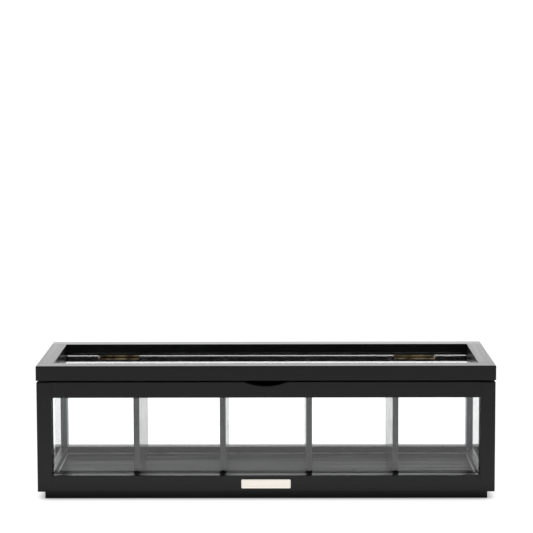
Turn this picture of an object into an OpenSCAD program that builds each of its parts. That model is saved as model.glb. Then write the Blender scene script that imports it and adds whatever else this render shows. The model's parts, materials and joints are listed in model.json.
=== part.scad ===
// Tea bag organizer box: a long glazed case with five compartments in one row,
// and a glazed lid on two brass butt hinges.
// Origin: middle of the underside. X runs along the front, Y from front to rear, Z up.

/* [Case] */
// Length of the case along its front
case_w = 400; // [320:5:480]
// Depth of the case from its front face to its rear face
case_d = 120; // [100:1:150]
// Height from the table to the top of the case, without the lid
case_h = 104.5; // [85:0.5:130]
// Thickness of the case walls, and side of the square corner posts
frame_t = 13; // [12:0.5:16]
// Height of the rails above the windows
top_rail_h = 13.8; // [11:0.1:18]
// Height of the rails below the windows
bottom_rail_h = 14.5; // [11:0.1:18]
// Radius to which the outer arrises of the case and the lid are eased
arris_r = 0.8; // [0.3:0.1:1.2]

/* [Base board] */
// Thickness of the board, from the table up to the floor of the compartments
base_t = 15; // [12:0.5:18]
// Height of the plinth, the board's lower step that carries the frame
plinth_h = 7.2; // [5:0.1:10]
// Distance that the plinth stands back from the faces of the case
plinth_inset = 5.8; // [3:0.1:9]
// Clearance between the board's upper step and the walls
base_clear = 0.1; // [0.05:0.05:0.3]

/* [Windows] */
// Thickness of the window panes
pane_t = 2; // [1.5:0.1:2.5]
// Distance of the panes behind the outer faces of the case
pane_setback = 8; // [6.5:0.5:8.5]
// Clearance between the faces of a pane and its groove
pane_clear = 0.1; // [0.05:0.05:0.2]
// Room between the edge of a pane and the bottom of its groove
edge_room = 0.3; // [0.1:0.1:0.5]
// Wood left between the two pane grooves of a corner post
groove_web = 0.3; // [0.2:0.1:0.8]

/* [Dividers] */
// Thickness of the dividers
divider_t = 5.2; // [3:0.2:8]
// Depth of the grooves in the front and rear rails that hold the dividers
divider_groove = 1.5; // [0.8:0.1:2]
// Clearance of a divider in its grooves
divider_clear = 0.1; // [0.05:0.05:0.3]
// Distance of the divider tops below the top of the case
divider_drop = 1; // [0.5:0.5:10]

/* [Finger notch] */
// Width of the notch along the top edge of the front rail
notch_w = 36; // [25:1:50]
// Depth of the notch below the top edge
notch_depth = 3.5; // [3:0.1:6]
// Length that the notch runs into the rail from the front face
notch_run = 8; // [5:0.5:9]

/* [Lid] */
// Thickness of the lid frame
lid_t = 12.9; // [11:0.1:16]
// Width of the lid rails
lid_rail_w = 14; // [12:0.5:20]
// Gap between the case and the closed lid
lid_gap = 1.4; // [1:0.1:2]
// Overhang of the lid in front of the case and beside it
lid_over = 0.4; // [0:0.1:1]
// Thickness of the lid pane
lid_pane_t = 3; // [2:0.1:3.5]
// Depth of the lid pane's upper face below the top of the lid
lid_pane_drop = 8.2; // [5:0.1:8.4]
// Depth of the pane groove in the lid rails
lid_groove = 4; // [3:0.1:4.5]
// Diameter of the rubber pads that hold the front of the lid off the case
pad_d = 8; // [6:0.5:10]
// Clearance between the pads and the closed lid
pad_clear = 0.1; // [0.05:0.05:0.2]

/* [Hinges] */
// Length of each hinge
hinge_len = 38; // [30:1:50]
// Distance from the end of the case to the middle of each hinge
hinge_inset = 61.8; // [40:0.2:80]
// Distance that the hinge axis lies in front of the rear face
hinge_set_in = 1.5; // [1.3:0.1:1.6]
// Thickness of the hinge leaves
leaf_t = 1; // [0.8:0.1:1.2]
// Space between the leaves when the lid is closed
leaf_space = 2; // [1.8:0.1:2.4]
// Diameter of the hinge pin
hinge_pin_d = 1.8; // [1.5:0.1:2]
// Running clearance round the hinge pin, on the radius
pin_clear = 0.03; // [0.02:0.01:0.08]
// Clearance between neighbouring knuckles
knuckle_clear = 0.2; // [0.1:0.05:0.4]
// Clearance between the barrel and the wood
barrel_clear = 0.1; // [0.05:0.05:0.2]
// Clearance between the ends of a hinge and its mortise
mortise_clear = 0.1; // [0.05:0.05:0.3]
// Width of the lip left along the inside of the rear top rail, in front of its rabbet
rear_lip = 2.5; // [2.2:0.1:4]

/* [Hinge screws] */
// Shank diameter of the screws
screw_d = 2.4; // [2:0.1:2.8]
// Diameter of the countersunk heads
screw_head_d = 4; // [3.6:0.1:4.2]
// Length of the screws
screw_len = 8; // [6:0.5:8]
// Distance between the two screws of a leaf
screw_spacing = 24; // [18:1:28]
// Clearance round the screws, on the radius
screw_clear = 0.05; // [0.02:0.01:0.1]
// Width of the driver slot
slot_w = 0.6; // [0.4:0.1:0.8]
// Depth of the driver slot
slot_depth = 0.4; // [0.3:0.1:0.5]

/* [Dowels] */
// Diameter of the dowels that join the rails
dowel_d = 4; // [3:0.5:5]
// Length of the dowels
dowel_len = 16; // [12:1:20]
// Length of a dowel in the post, or in the long rail of the lid
dowel_in_post = 6; // [4:0.5:6.5]
// Clearance round the dowels, on the radius
dowel_clear = 0.05; // [0.02:0.01:0.1]
// Room at each end of a dowel
dowel_end_room = 0.4; // [0.2:0.1:0.6]

/* [Nameplate] */
// Width of the bare metal plate on the front bottom rail
plate_w = 43.2; // [30:0.2:60]
// Height of the plate
plate_h = 8.1; // [6:0.1:10]
// Thickness of the plate
plate_t = 0.8; // [0.6:0.1:1.2]
// Distance that the plate stands proud of the rail
plate_proud = 0.4; // [0.2:0.1:0.5]
// Corner radius of the plate
plate_corner_r = 1; // [0.5:0.1:2]
// Height of the middle of the plate above the table
plate_z = 14.3; // [13:0.1:16]
// Clearance between the edge of the plate and its recess
plate_clear = 0.1; // [0.05:0.05:0.2]

/* [Hidden] */

$fn = 64;
cut = 1;

black_paint = [0.15, 0.15, 0.155];
clear_glass = [0.8, 0.88, 0.9, 0.35];
pale_metal = [0.92, 0.9, 0.86];
old_brass = [0.6, 0.48, 0.26];
black_rubber = [0.05, 0.05, 0.05];
beech = [0.8, 0.65, 0.45];

// Inside of the case walls
inner_w = case_w - 2 * frame_t;
inner_d = case_d - 2 * frame_t;
window_z0 = plinth_h + bottom_rail_h;
window_z1 = case_h - top_rail_h;

// The pane grooves of the case
groove_w = pane_t + 2 * pane_clear;
groove_depth = frame_t - pane_setback - groove_w - groove_web;
pane_bite = groove_depth - edge_room;

// One divider between each two of the compartments
compartments = 5;
divider_pitch = (inner_w + divider_t) / compartments;
function divider_x(i) = (i - compartments / 2) * divider_pitch;

notch_r = (notch_w * notch_w / 4 + notch_depth * notch_depth) / (2 * notch_depth);

// The lid's outline, which is flush with the case only at the rear
lid_w = case_w + 2 * lid_over;
lid_d = case_d + lid_over;
lid_mid_y = -lid_over / 2;
lid_z0 = case_h + lid_gap;
lid_z1 = lid_z0 + lid_t;
lid_front_y = -case_d / 2 - lid_over;
lid_inner_w = lid_w - 2 * lid_rail_w;
lid_inner_d = lid_d - 2 * lid_rail_w;
lid_pane_z1 = lid_z1 - lid_pane_drop;
lid_bite = lid_groove - edge_room;

// Hinges: the barrel is as thick as the two leaves and the space between them
hinge_closed = 2 * leaf_t + leaf_space;
barrel_r = hinge_closed / 2 - barrel_clear;
mortise_depth = hinge_closed - lid_gap;
axis_y = case_d / 2 - hinge_set_in;
axis_z = lid_z0 - hinge_closed / 2;
hinge_x = case_w / 2 - hinge_inset;
leaf_reach = frame_t - hinge_set_in;
knuckles = 5;
knuckle_len = hinge_len / knuckles;
knuckle_room = barrel_r + knuckle_clear;
screw_y = -(leaf_reach + knuckle_room) / 2;
screw_head_h = (screw_head_d - screw_d) / 2;

// Where the dowels lie
dowel_inset = pane_setback / 2;
bottom_dowel_z = plinth_h + bottom_rail_h / 2;
top_dowel_z = case_h - top_rail_h / 2;
lid_dowel_z = lid_z1 - lid_pane_drop / 2;
lid_dowel_x = lid_w / 2 - lid_rail_w / 2;

// A block between two corners
module block(low, high) {
    translate(low) cube(high - low);
}

// Its child, and the child mirrored to the other side of the YZ plane
module on_both_sides() {
    for (side = [0, 1]) mirror([side, 0, 0]) children();
}

// The waste that easing takes off the corner of a square bar
module waste_profile() {
    translate([-arris_r, -arris_r]) difference() {
        square(arris_r + cut);
        circle(arris_r);
    }
}

// The waste along the twelve arrises of a box that is centred on the origin
module arris_waste(w, d, h) {
    for (flip = [0, 1], side = [0, 1]) {
        mirror([side, 0, 0]) mirror([0, flip, 0]) translate([w / 2, d / 2, -h / 2])
            linear_extrude(h) waste_profile();
        mirror([0, side, 0]) mirror([0, 0, flip]) translate([-w / 2, d / 2, h / 2])
            rotate([90, 0, 90]) linear_extrude(w) waste_profile();
        mirror([side, 0, 0]) mirror([0, 0, flip]) translate([w / 2, d / 2, h / 2])
            rotate([90, 0, 0]) linear_extrude(d) waste_profile();
    }
}

module case_arris_waste() {
    translate([0, 0, (plinth_h + case_h) / 2])
        arris_waste(case_w, case_d, case_h - plinth_h);
}

module lid_arris_waste() {
    translate([0, lid_mid_y, (lid_z0 + lid_z1) / 2]) arris_waste(lid_w, lid_d, lid_t);
}

// A pane of the front wall, or the hole for it: reach is how far it goes past the
// window's edges, and room is its clearance at each face
module front_pane(reach, room) {
    y = -case_d / 2 + pane_setback + pane_clear;
    block([-inner_w / 2 - reach, y - room, window_z0 - reach],
          [inner_w / 2 + reach, y + pane_t + room, window_z1 + reach]);
}

// The same for the right wall
module right_pane(reach, room) {
    x = case_w / 2 - pane_setback - pane_clear;
    block([x - pane_t - room, -inner_d / 2 - reach, window_z0 - reach],
          [x + room, inner_d / 2 + reach, window_z1 + reach]);
}

module pane_grooves() {
    for (flip = [0, 1]) {
        mirror([0, flip, 0]) front_pane(groove_depth, pane_clear);
        mirror([flip, 0, 0]) right_pane(groove_depth, pane_clear);
    }
}

// The lid pane, or the hole for it
module lid_pane(reach, room) {
    block([-lid_inner_w / 2 - reach, lid_mid_y - lid_inner_d / 2 - reach,
           lid_pane_z1 - lid_pane_t - room],
          [lid_inner_w / 2 + reach, lid_mid_y + lid_inner_d / 2 + reach,
           lid_pane_z1 + room]);
}

// A dowel along X from the joint between a post and a rail at x = 0, with the post
// on the +X side; room_r and room_end make it the hole for that dowel
module dowel(room_r, room_end) {
    translate([dowel_in_post - dowel_len - room_end, 0, 0]) rotate([0, 90, 0])
        cylinder(d = dowel_d + 2 * room_r, h = dowel_len + 2 * room_end);
}

module all_case_dowels(room_r, room_end) {
    for (side = [0, 1], flip = [0, 1], z = [bottom_dowel_z, top_dowel_z])
        mirror([side, 0, 0]) mirror([0, flip, 0]) {
            translate([inner_w / 2, case_d / 2 - dowel_inset, z])
                dowel(room_r, room_end);
            translate([case_w / 2 - dowel_inset, inner_d / 2, z])
                rotate([0, 0, 90]) dowel(room_r, room_end);
        }
}

module all_lid_dowels(room_r, room_end) {
    for (flip = [0, 1])
        on_both_sides() translate([0, lid_mid_y, 0]) mirror([0, flip, 0])
            translate([lid_dowel_x, lid_inner_d / 2, lid_dowel_z])
                rotate([0, 0, 90]) dowel(room_r, room_end);
}

// The slot from rail to rail in which divider i slides, open at the top
module divider_slot(i) {
    x = divider_t / 2 + divider_clear;
    y = inner_d / 2 + divider_groove + divider_clear;
    block([divider_x(i) - x, -y, base_t], [divider_x(i) + x, y, case_h + cut]);
}

// Base board: one board with a rabbet all round, so that its lower step is the
// plinth and its upper step is the floor between the walls
module base_board() {
    plinth_x = case_w / 2 - plinth_inset;
    plinth_y = case_d / 2 - plinth_inset;
    floor_x = inner_w / 2 - base_clear;
    floor_y = inner_d / 2 - base_clear;
    color(black_paint) {
        block([-plinth_x, -plinth_y, 0], [plinth_x, plinth_y, plinth_h]);
        block([-floor_x, -floor_y, 0], [floor_x, floor_y, base_t]);
    }
}

// Corner posts: square bars from the plinth to the top of the case
module right_post() {
    color(black_paint) difference() {
        block([inner_w / 2, -case_d / 2, plinth_h], [case_w / 2, -inner_d / 2, case_h]);
        case_arris_waste();
        pane_grooves();
        all_case_dowels(dowel_clear, dowel_end_room);
    }
}

// Rails between the posts, with the pane grooves, dowel holes and eased arrises that
// all of them have
module front_rail(z0, z1) {
    difference() {
        block([-inner_w / 2, -case_d / 2, z0], [inner_w / 2, -inner_d / 2, z1]);
        case_arris_waste();
        pane_grooves();
        all_case_dowels(dowel_clear, dowel_end_room);
        for (i = [1 : compartments - 1]) divider_slot(i);
    }
}

module right_rail(z0, z1) {
    color(black_paint) difference() {
        block([inner_w / 2, -inner_d / 2, z0], [case_w / 2, inner_d / 2, z1]);
        case_arris_waste();
        pane_grooves();
        all_case_dowels(dowel_clear, dowel_end_room);
    }
}

module front_bottom_rail() {
    color(black_paint) difference() {
        front_rail(plinth_h, window_z0);
        plate_blank(plate_t - plate_proud, plate_clear);
    }
}

module rear_bottom_rail() {
    color(black_paint) mirror([0, 1, 0]) front_rail(plinth_h, window_z0);
}

// Front top rail, with a blind finger notch under the front edge of the lid
module front_top_rail() {
    color(black_paint) difference() {
        front_rail(window_z1, case_h);
        translate([0, -case_d / 2 - cut, case_h - notch_depth + notch_r])
            rotate([-90, 0, 0]) cylinder(r = notch_r, h = notch_run + cut, $fn = 180);
    }
}

// Rear top rail: a rabbet behind its lip makes room for the hinge barrels, and each
// hinge has a mortise through the lip
module rear_top_rail() {
    half = hinge_len / 2 + mortise_clear;
    color(black_paint) difference() {
        mirror([0, 1, 0]) front_rail(window_z1, case_h);
        block([-inner_w / 2 - cut, inner_d / 2 + rear_lip, case_h - mortise_depth],
              [inner_w / 2 + cut, case_d / 2 + cut, case_h + cut]);
        on_both_sides()
            block([hinge_x - half, inner_d / 2 - cut, case_h - mortise_depth],
                  [hinge_x + half, case_d / 2 + cut, case_h + cut]);
        all_screws(1) screw_blank(screw_clear);
    }
}

module case_dowels() {
    color(beech) all_case_dowels(0, 0);
}

module front_glass() {
    color(clear_glass) front_pane(pane_bite, 0);
}

module right_glass() {
    color(clear_glass) right_pane(pane_bite, 0);
}

// Dividers: plain boards that stand on the floor in grooves of the rails
module divider(i) {
    y = inner_d / 2 + divider_groove;
    color(black_paint)
        block([divider_x(i) - divider_t / 2, -y, base_t],
              [divider_x(i) + divider_t / 2, y, case_h - divider_drop]);
}

// The plate's outline with round corners, from depth behind the front face of the
// case outwards; room widens it into its recess
module plate_blank(depth, room) {
    x = plate_w / 2 + room;
    z = plate_h / 2 + room;
    r = plate_corner_r + room;
    translate([0, -case_d / 2 + depth, plate_z]) rotate([90, 0, 0])
        linear_extrude(plate_t) {
            square([2 * x - 2 * r, 2 * z], center = true);
            square([2 * x, 2 * z - 2 * r], center = true);
            for (sx = [-1, 1], sz = [-1, 1])
                translate([sx * (x - r), sz * (z - r)]) circle(r);
        }
}

// Nameplate: a small bare metal plate, let into the front bottom rail
module nameplate() {
    color(pale_metal) plate_blank(plate_t - plate_proud, 0);
}

// Lid pads: two rubber discs on the front posts, which the closed lid rests on
module lid_pads() {
    color(black_rubber) on_both_sides()
        translate([case_w / 2 - frame_t / 2, -case_d / 2 + frame_t / 2, case_h])
            cylinder(d = pad_d, h = lid_gap - pad_clear);
}

// A rail of the lid frame, cut out of the block between two corners
module lid_rail(low, high) {
    difference() {
        block(low, high);
        lid_arris_waste();
        lid_pane(lid_groove, pane_clear);
        all_lid_dowels(dowel_clear, dowel_end_room);
    }
}

// The long rails of the lid run from end to end, and the short ones between them
module lid_front_rail() {
    color(black_paint)
        lid_rail([-lid_w / 2, lid_front_y, lid_z0],
                 [lid_w / 2, lid_front_y + lid_rail_w, lid_z1]);
}

module lid_rear_rail() {
    color(black_paint) difference() {
        lid_rail([-lid_w / 2, case_d / 2 - lid_rail_w, lid_z0],
                 [lid_w / 2, case_d / 2, lid_z1]);
        all_screws(0) screw_blank(screw_clear);
    }
}

module lid_right_rail() {
    color(black_paint)
        lid_rail([lid_w / 2 - lid_rail_w, lid_front_y + lid_rail_w, lid_z0],
                 [lid_w / 2, case_d / 2 - lid_rail_w, lid_z1]);
}

module lid_dowels() {
    color(beech) all_lid_dowels(0, 0);
}

module lid_glass() {
    color(clear_glass) lid_pane(lid_bite, 0);
}

// A hinge screw, or the hole for it, with its head at z = 0 and its point upwards
module screw_blank(room) {
    cylinder(d1 = screw_head_d + 2 * room, d2 = screw_d + 2 * room, h = screw_head_h);
    cylinder(d = screw_d + 2 * room, h = screw_len - screw_d / 2);
    translate([0, 0, screw_len - screw_d / 2])
        cylinder(d1 = screw_d + 2 * room, d2 = 2 * room, h = screw_d / 2);
}

module screw() {
    difference() {
        screw_blank(0);
        translate([0, 0, slot_depth / 2])
            cube([screw_head_d + cut, slot_w, slot_depth + 0.001], center = true);
    }
}

// Its child at both screws of a leaf that lies above the hinge axis
module leaf_screws() {
    for (x = [-screw_spacing / 2, screw_spacing / 2])
        translate([x, screw_y, leaf_space / 2]) children();
}

// Its child at the screws of both hinges: down is 0 for the lid and 1 for the case
module all_screws(down) {
    on_both_sides() translate([hinge_x, axis_y, axis_z]) mirror([0, 0, down])
        leaf_screws() children();
}

// A hinge leaf above its axis at the origin: a plate with every second knuckle,
// counted from first
module leaf(first) {
    difference() {
        union() {
            block([-hinge_len / 2, -leaf_reach, leaf_space / 2],
                  [hinge_len / 2, 0, leaf_space / 2 + leaf_t]);
            for (k = [first : 2 : knuckles - 1])
                translate([(k - knuckles / 2) * knuckle_len + knuckle_clear / 2, 0, 0])
                    rotate([0, 90, 0])
                        cylinder(r = barrel_r, h = knuckle_len - knuckle_clear);
        }
        for (k = [1 - first : 2 : knuckles - 1])
            translate([(k - knuckles / 2) * knuckle_len - knuckle_clear / 2, 0, 0])
                block([0, -knuckle_room, 0],
                      [knuckle_len + knuckle_clear, cut, hinge_closed]);
        translate([-hinge_len / 2 - cut, 0, 0]) rotate([0, 90, 0])
            cylinder(r = hinge_pin_d / 2 + pin_clear, h = hinge_len + 2 * cut);
        leaf_screws() screw_blank(screw_clear);
    }
}

module right_hinge_case_leaf() {
    color(old_brass) translate([hinge_x, axis_y, axis_z]) mirror([0, 0, 1]) leaf(0);
}

module right_hinge_lid_leaf() {
    color(old_brass) translate([hinge_x, axis_y, axis_z]) leaf(1);
}

module right_hinge_pin() {
    color(old_brass) translate([hinge_x - hinge_len / 2, axis_y, axis_z])
        rotate([0, 90, 0]) cylinder(d = hinge_pin_d, h = hinge_len);
}

module hinge_case_screws() {
    color(old_brass) all_screws(1) screw();
}

module hinge_lid_screws() {
    color(old_brass) all_screws(0) screw();
}

base_board();
mirror([1, 0, 0]) right_post();  // front_left_post
right_post();  // front_right_post
mirror([1, 0, 0]) mirror([0, 1, 0]) right_post();  // rear_left_post
mirror([0, 1, 0]) right_post();  // rear_right_post
front_bottom_rail();
rear_bottom_rail();
mirror([1, 0, 0]) right_rail(plinth_h, window_z0);  // left_bottom_rail
right_rail(plinth_h, window_z0);  // right_bottom_rail
front_top_rail();
rear_top_rail();
mirror([1, 0, 0]) right_rail(window_z1, case_h);  // left_top_rail
right_rail(window_z1, case_h);  // right_top_rail
case_dowels();
front_glass();
mirror([0, 1, 0]) front_glass();  // rear_glass
mirror([1, 0, 0]) right_glass();  // left_glass
right_glass();
divider(1);  // divider_1
divider(2);  // divider_2
divider(3);  // divider_3
divider(4);  // divider_4
nameplate();
lid_pads();
lid_front_rail();
lid_rear_rail();
mirror([1, 0, 0]) lid_right_rail();  // lid_left_rail
lid_right_rail();
lid_dowels();
lid_glass();
mirror([1, 0, 0]) right_hinge_case_leaf();  // left_hinge_case_leaf
mirror([1, 0, 0]) right_hinge_lid_leaf();  // left_hinge_lid_leaf
mirror([1, 0, 0]) right_hinge_pin();  // left_hinge_pin
right_hinge_case_leaf();
right_hinge_lid_leaf();
right_hinge_pin();
hinge_case_screws();
hinge_lid_screws();
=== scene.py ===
import json
from itertools import product
from math import asin, cos, pi, radians, sin, sqrt

import bmesh
import bpy
from mathutils import Matrix, Vector


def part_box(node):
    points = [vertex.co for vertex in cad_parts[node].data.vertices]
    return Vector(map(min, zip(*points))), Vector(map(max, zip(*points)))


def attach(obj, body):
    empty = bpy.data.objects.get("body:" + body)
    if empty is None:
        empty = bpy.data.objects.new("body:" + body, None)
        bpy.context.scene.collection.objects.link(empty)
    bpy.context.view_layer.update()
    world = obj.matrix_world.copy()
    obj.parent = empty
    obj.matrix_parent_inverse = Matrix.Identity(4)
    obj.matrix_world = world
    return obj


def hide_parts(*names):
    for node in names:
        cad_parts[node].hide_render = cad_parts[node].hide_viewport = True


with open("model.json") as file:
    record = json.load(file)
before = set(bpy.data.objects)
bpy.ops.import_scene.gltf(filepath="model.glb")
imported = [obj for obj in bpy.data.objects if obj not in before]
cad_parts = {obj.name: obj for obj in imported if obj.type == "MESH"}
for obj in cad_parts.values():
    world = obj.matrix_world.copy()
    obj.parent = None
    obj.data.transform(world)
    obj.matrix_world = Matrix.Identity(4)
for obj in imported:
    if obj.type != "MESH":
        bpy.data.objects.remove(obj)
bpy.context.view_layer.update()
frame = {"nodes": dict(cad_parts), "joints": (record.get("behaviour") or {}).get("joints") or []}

# Base board
# One board of fibreboard with a rabbet sawn all round: the lower step is the plinth, and the
# upper step is the floor inside. The floor is brushed with a flat black that keeps the brush's
# streaks, and the plinth is sprayed satin black with the case.

MM = 0.001
BOARD_ARRIS = 0.5 * MM
FLOOR_ARRIS = 0.1 * MM
FOOT_ARRIS = 0.3 * MM
BOARD_CLEARANCE = 0.1 * MM
STREAKS_ALONG = 8
PEEL_GRAINS = 1100
PEEL_DEPTH = 0.012 * MM


def grown(node, x=0.0, y=0.0, z=0.0):
    """The box of a piece, grown by a clearance along each axis."""
    low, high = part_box(node)
    room = Vector((x, y, z))
    return low - room, high + room


def sawn_block(low, high, cuts=(), stations=()):
    """A closed skin of the block between two corners less the boxes in cuts.
    stations are more places along X where the skin gets an edge."""
    planes = []
    for axis in range(3):
        marks = {corner[axis] for cut in cuts for corner in cut}
        marks |= set(stations) if axis == 0 else set()
        marks = {round(m, 6) for m in marks if low[axis] < m < high[axis]}
        planes.append(sorted(marks | {round(low[axis], 6), round(high[axis], 6)}))

    def is_wood(cell):
        if not all(0 <= i < len(p) - 1 for i, p in zip(cell, planes)):
            return False
        middle = [(p[i] + p[i + 1]) / 2 for i, p in zip(cell, planes)]
        return not any(
            all(a < m < b for a, m, b in zip(cut[0], middle, cut[1])) for cut in cuts
        )

    skin = bmesh.new()
    corners = {}
    for cell in product(*(range(len(p) - 1) for p in planes)):
        for axis, side in product(range(3), (0, 1)):
            beyond = list(cell)
            beyond[axis] += 2 * side - 1
            if not is_wood(cell) or is_wood(beyond):
                continue
            ring = []
            for step in ((0, 0), (1, 0), (1, 1), (0, 1)):
                at = list(cell)
                at[axis] += side
                at[(axis + 1) % 3] += step[0]
                at[(axis + 2) % 3] += step[1]
                key = tuple(at)
                if key not in corners:
                    place = [p[i] for i, p in zip(at, planes)]
                    corners[key] = skin.verts.new(place)
                ring.append(corners[key])
            skin.faces.new(ring if side else ring[::-1])
    return skin


def piece_from(skin, name, material):
    """Makes an object of that name from a skin."""
    mesh = bpy.data.meshes.new(name)
    skin.to_mesh(mesh)
    skin.free()
    mesh.materials.append(material)
    piece = bpy.data.objects.new(name, mesh)
    bpy.context.scene.collection.objects.link(piece)
    return piece


def settled(piece, crease=radians(35)):
    """Applies the modifiers of a piece and shades it: round where faces meet at less than
    crease, and flat across its large faces."""
    evaluated = piece.evaluated_get(bpy.context.evaluated_depsgraph_get())
    mesh = bpy.data.meshes.new_from_object(evaluated)
    piece.modifiers.clear()
    old, piece.data = piece.data, mesh
    mesh.name = piece.name
    bpy.data.meshes.remove(old)
    mesh.polygons.foreach_set("use_smooth", [True] * len(mesh.polygons))
    mesh.set_sharp_from_angle(angle=crease)
    shading = piece.modifiers.new("flat faces stay flat", "WEIGHTED_NORMAL")
    shading.keep_sharp = True
    return piece


def side_of(face):
    """The side that a face looks to, as "-x" or "+z"."""
    axis = max(range(3), key=lambda a: abs(face.normal[a]))
    return ("+" if face.normal[axis] > 0 else "-") + "xyz"[axis]


def eased(skin, name, material, sides, elsewhere=0.0, other_sides=(), other_material=None):
    """A piece whose arrises are rounded. sides gives the radius along each side of its
    block, as in {"-x": 0.8 * MM}, or "all", and elsewhere the radius at its cuts. The
    other_sides of the block have the other material, and "cut" stands for its cuts."""
    points = [v.co for v in skin.verts]
    block = {
        sign + "xyz"[axis]: pick(p[axis] for p in points)
        for axis in range(3)
        for sign, pick in (("-", min), ("+", max))
    }
    bmesh.ops.dissolve_limit(skin, angle_limit=radians(0.5), verts=skin.verts, edges=skin.edges)
    skin.normal_update()

    def part_of(face):
        side = side_of(face)
        axis = "xyz".index(side[1])
        is_level = abs(face.calc_center_median()[axis] - block[side]) < 0.01 * MM
        return side if is_level and abs(face.normal[axis]) > 0.99 else "cut"

    def radius_along(face):
        part = part_of(face)
        return elsewhere if part == "cut" else sides.get(part, sides.get("all", 0.0))

    for face in skin.faces:
        face.material_index = int(part_of(face) in other_sides)

    widest = max([elsewhere, *sides.values()])
    weights = skin.edges.layers.float.new("bevel_weight_edge")
    for edge in skin.edges:
        if len(edge.link_faces) == 2 and edge.calc_face_angle_signed() > radians(20):
            edge[weights] = min(radius_along(f) for f in edge.link_faces) / widest
    piece = piece_from(skin, name, material)
    if other_material:
        piece.data.materials.append(other_material)
    rounding = piece.modifiers.new("eased arrises", "BEVEL")
    rounding.width = widest
    rounding.segments = 4
    rounding.limit_method = "WEIGHT"
    rounding.use_clamp_overlap = False
    return piece


def fitted(piece, body, slot, *nodes):
    """The piece moves with a body and stands for these nodes, which it hides. slot is not used."""
    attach(piece, body)
    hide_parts(*nodes)
    return piece


def new_finish(name):
    """A new material, its node tree and its shader."""
    finish = bpy.data.materials.new(name)
    finish.use_nodes = True
    return finish, finish.node_tree, finish.node_tree.nodes["Principled BSDF"]


def noise(tree, scale, detail=2, roughness=0.5, stretch=None):
    """Noise that lies fast on the piece. stretch gives its grains to the metre along each
    axis."""
    place = tree.nodes.new("ShaderNodeTexCoord").outputs["Object"]
    if stretch:
        mapping = tree.nodes.new("ShaderNodeMapping")
        mapping.inputs["Scale"].default_value = stretch
        tree.links.new(place, mapping.inputs["Vector"])
        place = mapping.outputs["Vector"]
    grains = tree.nodes.new("ShaderNodeTexNoise")
    grains.inputs["Scale"].default_value = scale
    grains.inputs["Detail"].default_value = detail
    grains.inputs["Roughness"].default_value = roughness
    tree.links.new(place, grains.inputs["Vector"])
    return grains.outputs["Fac"]


def tinted(tree, amount, dark_at, dark, light_at, light):
    """A colour that goes from dark to light as amount goes from dark_at to light_at."""
    ramp = tree.nodes.new("ShaderNodeValToRGB")
    first, last = ramp.color_ramp.elements
    first.position, first.color = dark_at, (*dark, 1)
    last.position, last.color = light_at, (*light, 1)
    tree.links.new(amount, ramp.inputs["Fac"])
    return ramp.outputs["Color"]


def graded(tree, amount, from_min, from_max, to_min, to_max):
    """A number that goes from to_min to to_max as amount goes from from_min to from_max."""
    step = tree.nodes.new("ShaderNodeMapRange")
    step.inputs["From Min"].default_value = from_min
    step.inputs["From Max"].default_value = from_max
    step.inputs["To Min"].default_value = to_min
    step.inputs["To Max"].default_value = to_max
    tree.links.new(amount, step.inputs["Value"])
    return step.outputs["Result"]


def relief(tree, height, strength, depth, over=None):
    """The normals of fine bumps, laid over other bumps where they are given."""
    bumps = tree.nodes.new("ShaderNodeBump")
    bumps.inputs["Strength"].default_value = strength
    bumps.inputs["Distance"].default_value = depth
    tree.links.new(height, bumps.inputs["Height"])
    if over:
        tree.links.new(over, bumps.inputs["Normal"])
    return bumps.outputs["Normal"]


def black_paint(name, along, ior, roughness, uneven, streak_width, streak_depth,
                dark=(0.0052, 0.0053, 0.0058), light=(0.0078, 0.0078, 0.0078)):
    """Black paint over wood: the fine peel of a sprayed coat, and streaks along one axis
    that change its height, its roughness by uneven, and its colour from dark to light."""
    paint, tree, coat = new_finish(name)
    coat.inputs["IOR"].default_value = ior
    grains = [STREAKS_ALONG if a == along else 1 / streak_width for a in "XYZ"]
    streaks = noise(tree, 1, detail=4, stretch=grains)
    peel = noise(tree, PEEL_GRAINS, detail=1)
    colour = tinted(tree, streaks, 0.45, dark, 0.8, light)
    gloss = graded(tree, streaks, 0.3, 0.7, roughness - uneven, roughness + uneven)
    ridges = relief(tree, streaks, 0.5, streak_depth)
    normal = relief(tree, peel, 0.25, PEEL_DEPTH, over=ridges)
    tree.links.new(colour, coat.inputs["Base Color"])
    tree.links.new(gloss, coat.inputs["Roughness"])
    tree.links.new(normal, coat.inputs["Normal"])
    return paint


satin_black = {
    axis: black_paint(
        f"satin black along {axis}", axis, ior=1.4, roughness=0.3, uneven=0.02,
        streak_width=2.4 * MM, streak_depth=0.006 * MM,
    )
    for axis in "XYZ"
}
brushed_black = black_paint(
    "brushed black", "X", ior=1.07, roughness=0.6, uneven=0.12,
    streak_width=6 * MM, streak_depth=0.02 * MM, light=(0.11, 0.11, 0.11),
)
brushed_coat = brushed_black.node_tree.nodes["Principled BSDF"]
brushed_coat.inputs["Coat Weight"].default_value = 0.095
brushed_coat.inputs["Coat Roughness"].default_value = 0.035
wall_nodes = [f"{end}_{side}_post" for end in ("front", "rear") for side in ("left", "right")]
wall_nodes += [f"{side}_bottom_rail" for side in ("front", "rear", "left", "right")]
rabbet = [grown(n, BOARD_CLEARANCE, BOARD_CLEARANCE) for n in wall_nodes]
board = eased(
    sawn_block(*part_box("base_board"), rabbet),
    "painted_base_board",
    brushed_black,
    {"all": BOARD_ARRIS, "+z": FLOOR_ARRIS, "-z": FOOT_ARRIS},
    elsewhere=FLOOR_ARRIS,
    other_sides=["-x", "+x", "-y", "+y"],
    other_material=satin_black["X"],
)
fitted(settled(board), "case", "black_paint_on_wood", "base_board")

# Corner posts
# Square bars of solid wood that run from the plinth to the lid, grooved for the panes of two walls
# each. The outer arrises are rounded over before the satin black is sprayed, which comes out duller
# on the faces inside the box. The inner faces of the rear posts are a lighter bluish grey, partly
# dust and partly a painted sheen.

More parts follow.
